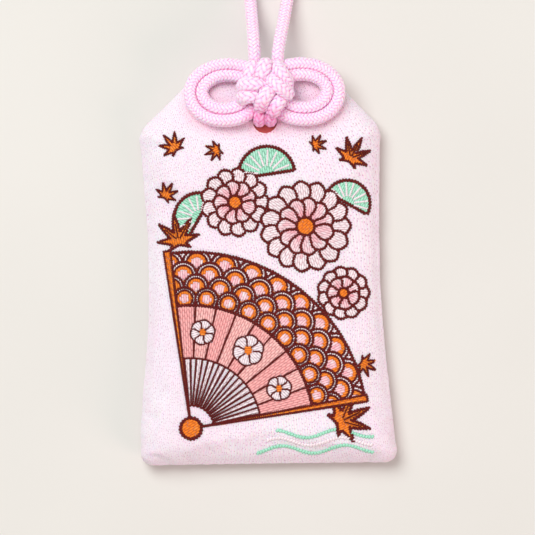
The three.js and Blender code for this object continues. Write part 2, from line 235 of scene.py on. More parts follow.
# Backing sheet
# Brick-red non-woven sheet, cut to the front's shape and sewn to its inside by the embroidery.
# It follows the padded front, a cloth's thickness within it, and each cord's end has its own hole in it.
_, top_y, body_thickness = np.array(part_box("front_panel")[1]) / mm
bottom_half, shoulder_half, top_half = 25.4, 24.1, 10.6
shoulder_y = top_y - 13.8
waist_pinch = 1.35
seam_level = 2.8
front_rounding, back_rounding = 6.5, 4.5
head_drop, head_slope = 1.6, 24
hole_centre = np.array([0.6, 28.2])
hole_radius = 2.45
# Each corner of the pouch: its place, its radius, and the steps and pinch of the side that follows it.
pouch_corners = [
    (-bottom_half, -top_y, 2.8, 40, 0), (bottom_half, -top_y, 2.8, 56, waist_pinch),
    (shoulder_half, shoulder_y, 5, 18, 0), (top_half, top_y, 4, 18, 0),
    (-top_half, top_y, 4, 18, 0), (-shoulder_half, shoulder_y, 5, 56, waist_pinch),
]
corner_steps = 8
sharpest_corner = 0.4
edge_steps = [0, 0.1, 0.3, 0.6, 1.0, 1.5, 2.1, 2.8, 3.6, 4.5, 5.5, 6.5, 9, 12, 14]


def unit(vectors):
    """Vectors of the same directions, each of length 1."""
    return vectors / np.linalg.norm(vectors, axis=1)[:, None]


def left_of(vectors):
    """Flat vectors, each turned a quarter to the left."""
    return np.column_stack([-vectors[:, 1], vectors[:, 0]])


def pouch_outline(inset):
    """The pouch's edge drawn in by a distance, counterclockwise, always with the same count of points."""
    corners = np.array([corner[:2] for corner in pouch_corners])
    along = unit(np.roll(corners, -1, axis=0) - corners)
    inward = left_of(along)
    started = corners + inset * inward
    before = np.roll(along, 1, axis=0)
    turns = before[:, 0] * along[:, 1] - before[:, 1] * along[:, 0]
    gap = started - np.roll(started, 1, axis=0)
    reach = (gap[:, 0] * along[:, 1] - gap[:, 1] * along[:, 0]) / turns
    sharp = np.roll(started, 1, axis=0) + before * reach[:, None]
    cuts = [
        max(corner[2] - inset, sharpest_corner) * math.tan(math.asin(turn) / 2)
        for corner, turn in zip(pouch_corners, turns)
    ]
    points = []
    for i, (_, _, _, steps, pinch) in enumerate(pouch_corners):
        after = (i + 1) % len(sharp)
        leaving = sharp[i] - along[i - 1] * cuts[i]
        joining = sharp[i] + along[i] * cuts[i]
        for t in np.linspace(0, 1, corner_steps + 1):
            points.append((1 - t) ** 2 * leaving + 2 * t * (1 - t) * sharp[i] + t**2 * joining)
        length = np.linalg.norm(sharp[after] - sharp[i])
        for t in np.arange(1, steps) / steps:
            run = cuts[i] + (length - cuts[i] - cuts[after]) * t
            share = run / length
            points.append(sharp[i] + along[i] * run + inward[i] * pinch * 4 * share * (1 - share))
    return np.array(points)


def rise(step, rounding):
    """Share of its full height that the padded edge has reached at a distance from the seam."""
    return math.sqrt(1 - (1 - min(step / rounding, 1)) ** 2)


def front_height(y):
    """Height of the padded front away from its edge: the head is thinner, past the end of the card."""
    t = np.clip((y - (top_y - head_slope)) / head_slope, 0, 1)
    return body_thickness - head_drop * t**2 * (3 - 2 * t)


def front_rings(inset):
    """Rings of the padded front, or of a surface within it by an inset, from the seam inwards."""
    rings = []
    for step in edge_steps:
        edge = pouch_outline(inset + step)
        top = front_height(edge[:, 1]) - inset
        rings.append(np.column_stack([edge, seam_level + (top - seam_level) * rise(step, front_rounding)]))
    return rings


def ring_walls(rings):
    """The corners of stacked rings, with the faces between them and over the last one."""
    index = np.arange(len(rings) * len(rings[0])).reshape(len(rings), -1)
    following = np.roll(index, -1, axis=1)
    walls = np.stack([index[:-1], following[:-1], following[1:], index[1:]], axis=-1).reshape(-1, 4)
    return np.vstack(rings), [*walls.tolist(), index[-1].tolist()]


def mesh_piece(name, corners, faces):
    """A new smooth-shaded piece from corners in millimetres and the faces between them."""
    made = bpy.data.meshes.new(name)
    made.from_pydata((np.asarray(corners) * mm).tolist(), [], faces)
    made.shade_smooth()
    piece = bpy.data.objects.new(name, made)
    bpy.context.scene.collection.objects.link(piece)
    return piece


punch_sides, punch_depth = 48, 4
sharp_fold = math.radians(50)


def punch_hole(piece, centre, radius):
    """Punches a hole for the cord through a piece of the pouch's front."""
    at = (*(centre * mm), front_height(centre[1]) * mm)
    bpy.ops.mesh.primitive_cylinder_add(
        vertices=punch_sides, radius=radius * mm, depth=punch_depth * mm, location=at
    )
    punch = bpy.context.object
    finish_with(piece, "BOOLEAN", object=punch, operation="DIFFERENCE", solver="EXACT")
    bpy.data.objects.remove(punch)
    take(piece)
    bpy.ops.object.shade_smooth_by_angle(angle=sharp_fold)


backing_inset, backing_thickness = 0.9, 0.35
backing_first_ring = 2
tail_hole, tail_aside = 1.3, 1.1
backing = mesh_piece("backing_sheet", *ring_walls(front_rings(backing_inset)[backing_first_ring:]))
finish_with(backing, "SOLIDIFY", thickness=backing_thickness * mm, offset=-1)
for aside in (-tail_aside, tail_aside):
    punch_hole(backing, hole_centre + (aside, 0), tail_hole)

# Non-woven polyester: matt, with the fine tangle of its pressed fibres.
tangle_size = 0.5 * mm
tangle_tones = [(0.3, "#b8524e"), (0.6, "#c35d58")]
tangle_grain = {"Detail": 4, "Distortion": 1}
non_woven = mottled("cloth_non_woven", tangle_size, tangle_tones, {"Roughness": 0.95}, tangle_grain)
backing.data.materials.append(non_woven)
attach(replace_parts(backing, "front_backing"), "pouch")

# Pouch cloth
# Two panels of pale pink cloth, sewn together round the edge, turned and drawn over the card and wadding.
# The front is covered in close rows of fine stitching, and a hole for the cord is punched near its top.
cloth_thickness = 0.6
cloth_grain = 0.75
back_rings = []
for step in edge_steps[:0:-1]:
    edge = pouch_outline(step)
    level = seam_level * (1 - rise(step, back_rounding))
    back_rings.append(np.column_stack([edge, np.full(len(edge), level)]))
form_corners, form_faces = ring_walls([*back_rings, *front_rings(0)])
pouch = mesh_piece("pouch_form", form_corners, [*form_faces, list(range(len(back_rings[0])))[::-1]])
finish_with(pouch, "REMESH", mode="VOXEL", voxel_size=cloth_grain * mm)


def corners_of(piece):
    """A piece's corners, in millimetres."""
    flat = np.empty(len(piece.data.vertices) * 3, np.float32)
    piece.data.vertices.foreach_get("co", flat)
    return flat.reshape(-1, 3).astype(float) / mm


def put_corners(piece, corners):
    """Moves a piece's corners to new places, in millimetres."""
    piece.data.vertices.foreach_set("co", (corners * mm).astype(np.float32).ravel())
    piece.data.update()


# The cloth is blown up against its seam, which leaves the soft swell and small drags that stuffing gives.
swell_scale = 20
swell_frames = 20
most_swell, most_head_swell, most_back_swell = 0.55, 0.15, 0.1
head_blend = 6
swell_settings = {
    "quality": 5, "mass": 0.4, "tension_stiffness": 25, "compression_stiffness": 25,
    "shear_stiffness": 8, "bending_stiffness": 2, "shrink_min": -0.03,
    "vertex_group_mass": "seam", "use_pressure": True, "uniform_pressure_force": 4,
}
before = corners_of(pouch)
put_corners(pouch, before * swell_scale)
sewn = pouch.vertex_groups.new(name="seam")
sewn.add(np.flatnonzero(abs(before[:, 2] - seam_level) < cloth_grain).tolist(), 1, "REPLACE")
take(pouch)
cloth = pouch.modifiers.new("cloth", "CLOTH")
for name, value in swell_settings.items():
    setattr(cloth.settings, name, value)
cloth.settings.effector_weights.gravity = 0
cloth.collision_settings.use_collision = False
for step in range(1, swell_frames + 1):
    bpy.context.scene.frame_set(step)
bpy.ops.object.modifier_apply(modifier="cloth")
bpy.context.scene.frame_set(1)
moved = corners_of(pouch) / swell_scale - before
reach = np.linalg.norm(moved, axis=1)
limit = np.interp(before[:, 1], (shoulder_y - head_blend, shoulder_y), (most_swell, most_head_swell))
limit = np.where(before[:, 2] < seam_level, most_back_swell, limit)
put_corners(pouch, before + moved * (limit / np.maximum(reach, limit))[:, None])

finish_with(pouch, "SUBSURF", levels=1, render_levels=1)

# Sewing draws the edge in along the seam, and the tails drag the cloth round the hole.
seam_depth, seam_width = 0.18, 0.5
seam_stitches, stitch_share = 100, 0.35
pucker_depth, pucker_reach = 0.35, 2.2
pucker_folds, fold_depth = 9, 0.16
corners = corners_of(pouch)
round_edge = np.arctan2(corners[:, 1], corners[:, 0])
drawn = seam_depth * np.exp(-(((corners[:, 2] - seam_level) / seam_width) ** 2))
drawn *= 1 + stitch_share * np.cos(seam_stitches * round_edge)
from_axis = corners[:, :2] / np.maximum(np.linalg.norm(corners[:, :2], axis=1), 1)[:, None]
corners[:, :2] -= from_axis * drawn[:, None]
from_hole = corners[:, :2] - hole_centre
from_rim = np.clip(np.linalg.norm(from_hole, axis=1) - hole_radius, 0, None)
pucker = np.exp(-from_rim / pucker_reach) * (corners[:, 2] > seam_level)
folds = np.cos(pucker_folds * np.arctan2(from_hole[:, 1], from_hole[:, 0]))
corners[:, 2] -= pucker * (pucker_depth + fold_depth * folds)

# The sides are cut by hand: each is a list of (height on the pouch, how far out it goes).
left_cut = [(-38, 0), (-34, 0.6), (-26, 0.6), (-18, 0.3), (-12, 0), (4, 0), (12, 0.4), (24, 0.8), (34, 0)]
right_cut = [(-30, 1.0), (-4, 0.1), (18, 0), (26, -0.3), (34, 0)]
x, y, z = corners.T
for cut, hand in ((left_cut, -1), (right_cut, 1)):
    x += hand * np.interp(y, *zip(*cut)) * np.clip(hand * x / bottom_half, 0, 1)

# Filling by hand leaves slow waves in the face: their height, and the turn and sway of each direction.
wave_height, wave_start = 0.09, 2
turn_x, sway_x, sway_turn_x = 0.52, 1.3, 0.23
turn_y, sway_y, sway_turn_y = 0.61, 0.9, 0.31
wave = np.sin(turn_x * x + sway_x * np.sin(sway_turn_x * y))
wave *= np.sin(turn_y * y + sway_y * np.sin(sway_turn_y * x))
z += wave_height * wave * np.clip((z - seam_level) / wave_start - 1, 0, 1)
put_corners(pouch, corners)

# Close-stitched polyester ground: fine thread in rows that flow round the hole, pricked by needle holes.
pouch_cloth, tree, surface = new_material("cloth_stitched_ground")
row_pitch = 0.46
# A wave pattern repeats at this length when its scale is 1.
wave_length = 0.314
row_lines = add_node(tree, "UVMap", uv_map="stitch_rows")
row_waves = {"Scale": wave_length / row_pitch, "Distortion": 1.4, "Detail": 1, "Detail Scale": 0.5}
ridges = add_node(tree, "TexWave", {"Vector": row_lines, **row_waves}).outputs["Fac"]
prick_spacing = (0.46, 0.62, 1)
prick_size = {"From Min": 0.08, "From Max": 0.24}
prick_chance = {"From Min": 0.2, "From Max": 0.95}
spaced = add_node(tree, "Mapping", {"Vector": row_lines, "Scale": [1 / gap for gap in prick_spacing]})
pricks = add_node(
    tree, "TexVoronoi", {"Vector": spaced, "Scale": 1, "Randomness": 0.9}, voronoi_dimensions="2D"
)
prick = add_node(tree, "MapRange", {"Value": pricks, **prick_size})
chance = add_node(tree, "SeparateColor", {"Color": pricks.outputs["Color"]})
faint = add_node(tree, "MapRange", {"Value": chance, **prick_chance})
unpricked = add_node(tree, "Math", {0: faint, 1: prick}, operation="MAXIMUM")
place = add_node(tree, "TexCoord").outputs["Object"]
patch_size = 9 * mm
patches = add_node(tree, "TexNoise", {"Vector": place, "Scale": 1 / patch_size, "Detail": 3})
thread_tone = add_node(tree, "ValToRGB", {"Fac": patches}, [(0.3, "#ffebfa"), (0.7, "#fff2ff")])
# Painted shade in the grooves between the stitch rows: the tone is a little darker there.
row_groove_shade = add_node(tree, "ValToRGB", {"Fac": ridges}, [(0.0, "#fceef7"), (0.5, "#ffffff")])
ground_tone = add_node(
    tree, "Mix", {"Factor": 1, "A": thread_tone, "B": row_groove_shade}, data_type="RGBA", blend_type="MULTIPLY"
)
pricked_tone = add_node(
    tree, "Mix", {"Factor": unpricked, "A": linear("#d09cbc"), "B": ground_tone}, data_type="RGBA"
)
# Painted pink shade and bounce light from the cord: the tone is multiplied towards deep pink near the cord.
cord_glow = add_node(tree, "Attribute", attribute_name="painted_cord_glow").outputs["Fac"]
cord_glow_tone = add_node(
    tree, "Mix", {"Factor": cord_glow, "A": pricked_tone, "B": linear("#ff9490")},
    data_type="RGBA", blend_type="MULTIPLY",
)
height = add_node(tree, "Math", {0: ridges, 1: unpricked}, operation="MULTIPLY")
relief = add_node(tree, "Bump", {"Height": height, "Strength": 0.5, "Distance": 0.07 * mm})
plug(
    tree, surface,
    {
        "Base Color": cord_glow_tone, "Normal": relief,
        "Roughness": 0.75, "Specular IOR Level": 0.25, "Sheen Weight": 0.2,
        "Subsurface Weight": 0.45, "Subsurface Radius": (1.0, 0.45, 0.65), "Subsurface Scale": 1.6 * mm,
    },
)

# Plain-woven lining in deep rose, seen only down the hole.
lining_cloth, tree, surface = new_material("cloth_rose_lining")
lining_thread = 0.3 * mm
lining_tones = {"Color1": linear("#cf6a66"), "Color2": linear("#b9534f")}
place = add_node(tree, "TexCoord").outputs["Object"]
weave = add_node(tree, "TexChecker", {"Vector": place, "Scale": 1 / lining_thread, **lining_tones})
plug(tree, surface, {"Base Color": weave, "Roughness": 0.85})

# Plain-woven polyester for the back: warp and weft threads over and under one another.
back_weave, tree, surface = new_material("cloth_plain_weave")
weave_pitch = 0.5 * mm
place = add_node(tree, "TexCoord").outputs["Object"]
thread_waves = {"Vector": place, "Scale": wave_length / weave_pitch, "Distortion": 0.5}
warp = add_node(tree, "TexWave", thread_waves).outputs["Fac"]
weft = add_node(tree, "TexWave", thread_waves, bands_direction="Y").outputs["Fac"]
crossed = add_node(tree, "Math", {0: warp, 1: weft}, operation="MULTIPLY")
# Painted shade in the hollows between the threads: the tone is darker where they dive under one another.
tone = add_node(tree, "ValToRGB", {"Fac": crossed}, [(0.0, "#efd3e2"), (0.6, "#fbe9f4")])
relief = add_node(tree, "Bump", {"Height": crossed, "Strength": 0.6, "Distance": 0.08 * mm})
back_finish = {"Roughness": 0.8, "Specular IOR Level": 0.25, "Sheen Weight": 0.2}
plug(tree, surface, {"Base Color": tone, "Normal": relief, **back_finish})


def cut_at_seam(name, upper, outer_finish):
    """One panel of the pouch: the form's half on one side of the seam, thickened inwards."""
    panel = pouch.copy()
    panel.data = pouch.data.copy()
    panel.name = panel.data.name = name
    bpy.context.scene.collection.objects.link(panel)
    panel.vertex_groups.clear()
    take(panel)
    bpy.ops.object.mode_set(mode="EDIT")
    bpy.ops.mesh.select_all(action="SELECT")
    bpy.ops.mesh.bisect(
        plane_co=(0, 0, seam_level * mm), plane_no=(0, 0, 1), clear_inner=upper, clear_outer=not upper
    )
    bpy.ops.object.mode_set(mode="OBJECT")
    panel.data.materials.clear()
    panel.data.materials.append(outer_finish)
    panel.data.materials.append(lining_cloth)
    finish_with(panel, "SOLIDIFY", thickness=cloth_thickness * mm, offset=-1, material_offset=1)
    return panel


front_cloth = cut_at_seam("pouch_front_cloth", True, pouch_cloth)
back_cloth = cut_at_seam("pouch_back_cloth", False, back_weave)
bpy.data.objects.remove(pouch)
punch_hole(front_cloth, hole_centre, hole_radius)

# Row lines run upright, part round the hole, swirl slowly towards the corners and go on down the sides.
# Each swirl has its place, its pull on the rows, and the turn that keeps its own joint off the cloth.
swirls = [(-34 - 46j, 3 + 12j, 1), (36 - 48j, -3 + 12j, -1), (-34 + 46j, 2 - 8j, 1), (36 + 30j, 2 + 7j, -1)]
row_spread = 0.52
side_start = 5.5
corners = corners_of(front_cloth)
facing = np.empty(corners.size, np.float32)
front_cloth.data.vertices.foreach_get("normal", facing)
unrolled = corners + facing.reshape(-1, 3) * np.clip(side_start - corners[:, 2:], 0, None)
spot = unrolled[:, 0] + 1j * unrolled[:, 1]
flow = row_spread * (spot - hole_radius**2 / (spot - complex(*hole_centre)))
flow += sum(pull * np.log((spot - centre) * turn) for centre, pull, turn in swirls)
loop_corner = np.empty(len(front_cloth.data.loops), np.int32)
front_cloth.data.loops.foreach_get("vertex_index", loop_corner)
row_places = np.column_stack([flow.real, flow.imag])[loop_corner]
row_map = front_cloth.data.uv_layers.new(name="stitch_rows")
row_map.data.foreach_set("uv", row_places.astype(np.float32).ravel())

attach(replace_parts(front_cloth, "front_panel"), "pouch")
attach(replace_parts(back_cloth, "back_panel"), "pouch")

# Seam thread
# Three-ply pink sewing thread that joins the panels: one run round the sides and foot, one over the mouth.
# The pouch was turned after sewing, so the thread lies just inside the edge.
thread_diameter = 0.5
thread_sides = 12
plies, ply_pitch, ply_relief = 3, 1.4, 0.25
thread_step = 0.35
seam_gap, mouth_slack = 0.3, 0.01
# A direction that no thread or cord runs along.
no_run = (0.31, 0.17, 0.94)


def swept_piece(name, line, radii):
    """A closed round piece along a line of points, with a radius for each side of each point."""
    along = unit(np.gradient(line, axis=0))
    side = np.cross(along[0], no_run)
    sides = []
    for direction in along:
        side = side - direction * (side @ direction)
        side = side / np.linalg.norm(side)
        sides.append(side)
    across = np.array(sides)
    upward = np.cross(along, across)
    turn = np.linspace(0, 2 * math.pi, radii.shape[1], endpoint=False)[None, :, None]
    ring = across[:, None, :] * np.cos(turn) + upward[:, None, :] * np.sin(turn)
    corners, faces = ring_walls(list(line[:, None, :] + radii[..., None] * ring))
    return mesh_piece(name, corners, [*faces, list(range(radii.shape[1]))[::-1]])


def run_of(points):
    """Distance along a line of points, at each of them."""
    return np.concatenate([[0], np.cumsum(np.linalg.norm(np.diff(points, axis=0), axis=1))])


def at_runs(points, runs):
    """The places on a line of points that lie at distances along it."""
    return np.column_stack([np.interp(runs, run_of(points), axis) for axis in points.T])


# Pink polyester sewing thread with a soft shine.
lint_size = 0.2 * mm
thread_shades = [(0.3, "#e9c3d3"), (0.7, "#f4d8e4")]
sewing_thread = mottled("thread_polyester_pink", lint_size, thread_shades, {"Roughness": 0.5})

seam_inset = cloth_thickness + seam_gap + thread_diameter / 2
seam_line = pouch_outline(seam_inset)
seam_line = np.column_stack([seam_line, np.full(len(seam_line), seam_level)])
mouth_points = np.flatnonzero(seam_line[:, 1] > top_y - seam_inset - mouth_slack)
below_mouth = np.roll(seam_line, -mouth_points[-1] - 1, axis=0)[: -len(mouth_points)]
for name, points in (("seam_thread", below_mouth[1:-2]), ("mouth_thread", seam_line[mouth_points])):
    runs = np.arange(0, run_of(points)[-1], thread_step)
    turn = np.linspace(0, 2 * math.pi, thread_sides, endpoint=False)[None, :]
    twist = 2 * math.pi * runs[:, None] / (plies * ply_pitch)
    bulge = abs(np.cos(plies / 2 * (turn - twist)))
    radii = thread_diameter / 2 * (1 - ply_relief + ply_relief * bulge)
    piece = swept_piece(f"{name}_plied", at_runs(points, runs), radii)
    piece.data.materials.append(sewing_thread)
    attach(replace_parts(piece, name), "pouch")

# Embroidery
# Rayon thread, machine-sewn through the front cloth and its backing: filled shapes, most edged in maroon.
# An open fan lies below chrysanthemums, with maple leaves, pine and running water round them.
drape_step = 0.5
drape_x = np.arange(-26, 26.1, drape_step)
drape_y = np.arange(-42, 42.1, drape_step)
cloth_tree = BVHTree.FromObject(front_cloth, bpy.context.evaluated_depsgraph_get())
drape = np.full((len(drape_y), len(drape_x)), seam_level)
for i, y in enumerate(drape_y):
    for j, x in enumerate(drape_x):
        struck = cloth_tree.ray_cast(Vector((x, y, 2 * body_thickness)) * mm, Vector((0, 0, -1)))[0]
        if struck:
            drape[i, j] = struck.z / mm


def drape_at(spots):
    """Height of the front cloth at spots on it."""
    column = (spots[..., 0] - drape_x[0]) / drape_step
    row = (spots[..., 1] - drape_y[0]) / drape_step
    j, i = np.floor(column).astype(int), np.floor(row).astype(int)
    s, t = column - j, row - i
    lower = drape[i, j] * (1 - s) + drape[i, j + 1] * s
    upper = drape[i + 1, j] * (1 - s) + drape[i + 1, j + 1] * s
    return lower * (1 - t) + upper * t


def polar(centre, radius, degrees):
    """Points at a distance and a direction from a centre."""
    turn = np.radians(degrees)
    return np.array(centre) + np.column_stack([radius * np.cos(turn), radius * np.sin(turn)])


disc_steps, band_steps, petal_steps = 28, 16, 14
petal_foot, petal_tip, petal_lean, petal_fullness = 0.02, 0.985, 1.7, 0.6


def disc(centre, radius):
    """A round shape."""
    return polar(centre, radius, np.linspace(0, 360, disc_steps, endpoint=False))


def band(centre, inner, outer, start, end):
    """A piece of a ring between two radii and two directions."""
    sweep = np.linspace(start, end, band_steps)
    return np.vstack([polar(centre, inner, sweep), polar(centre, outer, sweep[::-1])])


def petal(centre, degrees, near, far, breadth):
    """A petal that points away from a centre, round at its far end."""
    t = np.linspace(petal_foot, 1, petal_steps)
    half = breadth / 2 * np.sin(math.pi * np.minimum(t**petal_lean, petal_tip)) ** petal_fullness
    out = np.column_stack([near + (far - near) * t, half])
    both = np.vstack([out, out[::-1] * (1, -1)])
    turn = math.radians(degrees)
    across = np.array([[math.cos(turn), math.sin(turn)], [-math.sin(turn), math.cos(turn)]])
    return np.array(centre) + both @ across


# Each lobe of a maple leaf: its direction, and its reach as a share of the leaf's.
maple_lobes = [(-128, 0.5), (-84, 0.78), (-40, 0.94), (0, 1), (40, 0.94), (84, 0.78), (128, 0.5)]
lobe_half, lobe_neck, lobe_notch = 10, 0.6, 0.33
stem_turn, stem_reach = 176, 0.16


def maple(centre, size, degrees):
    """A maple leaf with seven lobes."""
    turns, reaches = [-stem_turn], [stem_reach]
    for number, (turn, reach) in enumerate(maple_lobes):
        turns += [turn - lobe_half, turn, turn + lobe_half]
        reaches += [lobe_neck * reach, reach, lobe_neck * reach]
        if number + 1 < len(maple_lobes):
            turns.append((turn + maple_lobes[number + 1][0]) / 2)
            reaches.append(lobe_notch)
    return polar(centre, size * np.array([*reaches, stem_reach]), degrees + np.array([*turns, stem_turn]))


shapes = []


def sew(outline, thread, lean=0, tint=0, edge=0.74, edge_thread="maroon", within=None, closed=True):
    """Adds a shape to be sewn over those before it, with the lean of its rows and the width of its edge."""
    outline = np.array(outline, float)
    shapes.append(
        {
            "outline": outline, "thread": thread, "lean": lean, "tint": tint, "edge": edge,
            "edge_thread": edge_thread, "within": within, "closed": closed,
            "low": outline.min(axis=0), "high": outline.max(axis=0),
        }
    )


flower_edge, flower_eye = 0.6, 0.2
outer_foot, inner_foot, inner_reach = 0.36, 0.12, 0.64
petal_share = 0.98
pale_slope, pale_start = 1.35, 0.45


def chrysanthemum(centre, size, petals):
    """Two rows of petals, white at their tips and pink at their feet, round an orange eye."""

    def paleness(spots):
        """How far from pink to white the thread is at spots on the flower."""
        reach = np.linalg.norm(spots - np.array(centre), axis=1) / (inner_reach * size)
        return pale_slope * reach - pale_start

    for near, far, count, shift in ((outer_foot, 1, petals, 0), (inner_foot, inner_reach, petals - 4, 0.5)):
        breadth = 2 * math.pi * size * far / count * petal_share
        for k in range(count):
            turn = 360 * (k + shift) / count
            outline = petal(centre, turn, near * size, far * size, breadth)
            sew(outline, "petal", turn, tint=paleness, edge=flower_edge)
    sew(disc(centre, flower_eye * size), "orange", 40, edge=flower_edge)


# Running water across the foot
water_low, water_gap = -37.6, 1.6
water_start, water_end, water_steps = -2, 21.5, 60
water_height, water_turn, water_shift = 0.8, 0.5, 0.35
for k, thread in enumerate(["mint", "white", "mint"]):
    run = np.linspace(water_start + 2 * k, water_end, water_steps)
    level = water_low + water_gap * k + water_height * np.sin(run * water_turn + water_shift * k)
    sew(np.column_stack([run, level]), None, edge=0.7, edge_thread=thread, closed=False)

# Tufts of pine, their needles drawn out from the foot
pine_span = np.linspace(0, 180, 20)
needle_turns = np.linspace(14, 166, 8)
needle_ends = np.array([0.3, 0.9])
for centre, size, turn in (((0.8, 17.5), 5.6, 8), ((16.8, 11.5), 4.6, -30), ((-12.8, 9), 5, 60)):
    sew(polar(centre, size, turn + pine_span), "mint", turn + 90)
    for needle_turn in needle_turns:
        needle = polar(centre, needle_ends * size, turn + needle_turn)
        sew(needle, None, edge=0.42, edge_thread="white", closed=False)

# Maple leaves
veined_size, veined_lobes = 4, (-40, 0, 40)
vein_ends = np.array([0.1, 0.66])
leaf_edge, edge_growth = 0.2, 0.075
for centre, size, turn in (
    ((-17, 4.5), 5.4, 100), ((17.6, 20.5), 4.6, 60), ((15, -32), 6.2, 25), ((-17.5, 23), 3.4, 130),
    ((-19.5, 13.5), 2.9, 60), ((-9, 22.5), 2.6, 200), ((19.6, -20.5), 3, 330), ((10.5, 23.2), 2.5, 20),
):
    sew(maple(centre, size, turn), "orange", turn, edge=leaf_edge + edge_growth * size)
    for lobe in veined_lobes if size > veined_size else ():
        sew(polar(centre, vein_ends * size, turn + lobe), None, edge=0.34, closed=False)

# The open fan: ribs, a plain band in pleats, and a band of overlapping waves at its rim
pivot = np.array([-15, -33])
fan_start, fan_end, pleats = 9, 97, 9
fan_foot, fan_rib, fan_waist, fan_rim = 4.5, 14, 24.6, 35.2
rib_share, fold_tint = 0.26, 0.85
wave_inset, wave_gap = 2.2, 2.35
# Each disc of a wave: its share of the wave's size, its thread, its tint and its edge.
wave_discs = ((1, "white", 0, 0.6), (0.74, "orange", 0, 0.46), (0.4, "petal", 0.4, 0))
guard_half, guard_foot, guard_past = 1.1, 1, 0.5
blossom_foot, blossom_breadth, blossom_eye = 0.3, 0.95, 0.3
rivet_radius = 2.1
pleat = (fan_end - fan_start) / pleats
for k in range(pleats):
    turn = fan_start + pleat * (k + 0.5)
    rib = band(pivot, fan_foot, fan_rib, turn - rib_share * pleat, turn + rib_share * pleat)
    sew(rib, "white", turn, edge=0.45)
for k in range(pleats):
    start = fan_start + pleat * k
    folded = band(pivot, fan_rib, fan_waist, start, start + pleat)
    sew(folded, "salmon", start + pleat / 2, tint=fold_tint * (k % 2), edge=0.4)
rim = band(pivot, fan_waist, fan_rim, fan_start, fan_end)
sew(rim, "white", 50, edge=0)
for row, radius in enumerate(np.arange(fan_rim - wave_inset, fan_waist, -wave_gap)):
    for k in range(pleats + 1):
        turn = fan_start + pleat * (k + 0.5 * (row % 2))
        centre = polar(pivot, radius, [turn])[0]
        size = radius * math.radians(pleat) / 2
        for share, thread, tint, edge in wave_discs:
            sew(disc(centre, share * size), thread, turn, tint=tint, within=rim, edge=edge)
sew(rim, None)
for turn in (fan_start, fan_end):
    guard = band(pivot, guard_foot, fan_rim + guard_past, turn - guard_half, turn + guard_half)
    sew(guard, "orange", turn, edge=0.5)
for k, size in ((1, 2.5), (4, 3.1), (7, 2.5)):
    centre = polar(pivot, (fan_rib + fan_waist) / 2, [fan_start + pleat * (k + 0.5)])[0]
    for turn in range(15, 375, 60):
        sew(petal(centre, turn, blossom_foot, size, size * blossom_breadth), "white", turn, edge=0.36)
    sew(disc(centre, blossom_eye * size), "orange", edge=0)
sew(disc(pivot, rivet_radius), "orange", 30)

# Chrysanthemums
chrysanthemum((-5.6, 12), 6.8, 13)
chrysanthemum((15.8, -6.4), 5.2, 11)
chrysanthemum((8.4, 7), 9, 15)

field_inset = 1.9
sewing_field = pouch_outline(field_inset)


def inside(outline, spots):
    """Which spots lie in a closed shape."""
    a, b = outline, np.roll(outline, -1, axis=0)
    x, y = spots[:, :1], spots[:, 1:]
    level = np.where(a[:, 1] == b[:, 1], 1, b[:, 1] - a[:, 1])
    passed = ((a[:, 1] > y) != (b[:, 1] > y)) & (x < a[:, 0] + (y - a[:, 1]) * (b[:, 0] - a[:, 0]) / level)
    return passed.sum(axis=1) % 2 == 1


def in_sight(number, spots):
    """Which spots of a shape are kept: those within its bounds that no later shape is sewn over."""
    kept = inside(sewing_field, spots)
    low, high = spots.min(axis=0), spots.max(axis=0)
    if shapes[number]["within"] is not None:
        kept &= inside(shapes[number]["within"], spots)
    for later in shapes[number + 1 :]:
        if later["thread"] and (later["low"] < high).all() and (later["high"] > low).all():
            covered = inside(later["outline"], spots)
            if later["within"] is not None:
                covered &= inside(later["within"], spots)
            kept &= ~covered
    return kept


